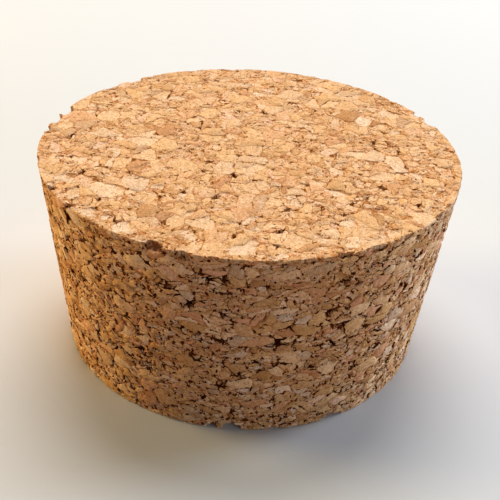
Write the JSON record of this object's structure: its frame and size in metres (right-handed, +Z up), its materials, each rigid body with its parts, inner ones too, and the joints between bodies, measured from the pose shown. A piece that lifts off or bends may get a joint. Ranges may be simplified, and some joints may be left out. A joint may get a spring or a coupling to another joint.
{
  "type": "cork stopper",
  "caption": "Tapered cork stopper pressed from granules, with open pores and crumbled rims, that wedges into the round mouth of a wide jar.",
  "frame": {"origin": "centre of the small face, which the stopper stands on", "axes": "+Z up the axis of the taper, from the small face to the large face; +X to the right and +Y away from the viewer in the front view"},
  "size_m": [0.09, 0.09, 0.0445],
  "materials": {
    "pressed_cork": "matte"
  },
  "bodies": {
    "root": {"cork_stopper": "pressed_cork"}
  },
  "joints": []
}
